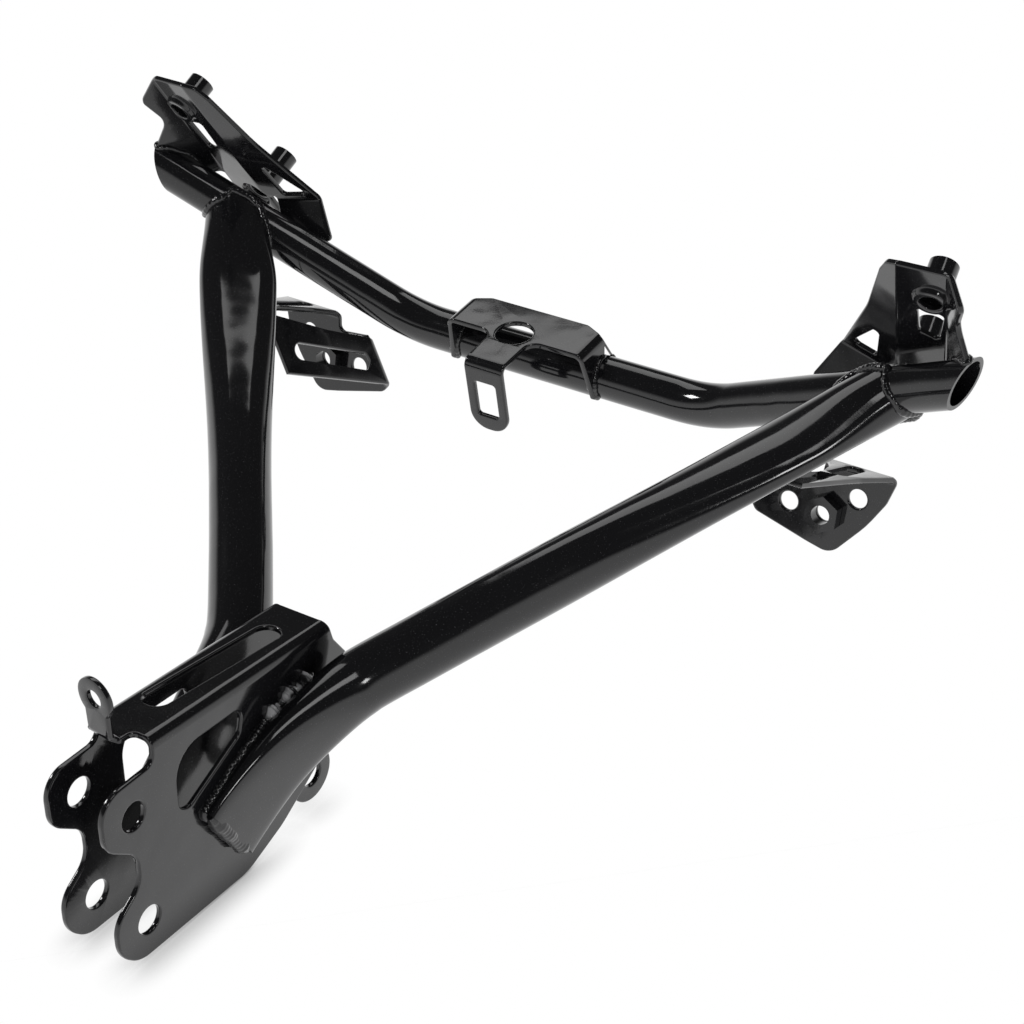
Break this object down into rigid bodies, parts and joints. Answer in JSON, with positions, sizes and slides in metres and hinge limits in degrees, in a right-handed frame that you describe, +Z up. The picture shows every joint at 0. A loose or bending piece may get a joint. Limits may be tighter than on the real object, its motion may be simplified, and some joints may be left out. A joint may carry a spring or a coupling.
{
  "type": "motorcycle fairing stay",
  "caption": "Welded tube and sheet bracket that carries a motorcycle's nose fairing, mirrors and lamp from the steering head.",
  "frame": {"origin": "centre of the upper bolt axis through the head bracket, on the part's middle plane", "axes": "+X to the motorcycle's right hand as its rider sits, +Y forward, +Z up"},
  "size_m": [0.3964, 0.3356, 0.2152],
  "materials": {
    "gloss_black_paint": "gloss"
  },
  "bodies": {
    "root": {"centre_bracket": "gloss_black_paint", "cheek_lug_left": "gloss_black_paint", "cheek_lug_right": "gloss_black_paint", "crossbar": "gloss_black_paint", "head_bracket": "gloss_black_paint", "leg_left": "gloss_black_paint", "leg_right": "gloss_black_paint", "mirror_bracket_left": "gloss_black_paint", "mirror_bracket_right": "gloss_black_paint", "mirror_collar_lower_left": "gloss_black_paint", "mirror_collar_lower_right": "gloss_black_paint", "mirror_collar_upper_left": "gloss_black_paint", "mirror_collar_upper_right": "gloss_black_paint", "side_bracket_left": "gloss_black_paint", "side_bracket_right": "gloss_black_paint", "side_nut_left": "gloss_black_paint", "side_nut_right": "gloss_black_paint"}
  },
  "joints": []
}
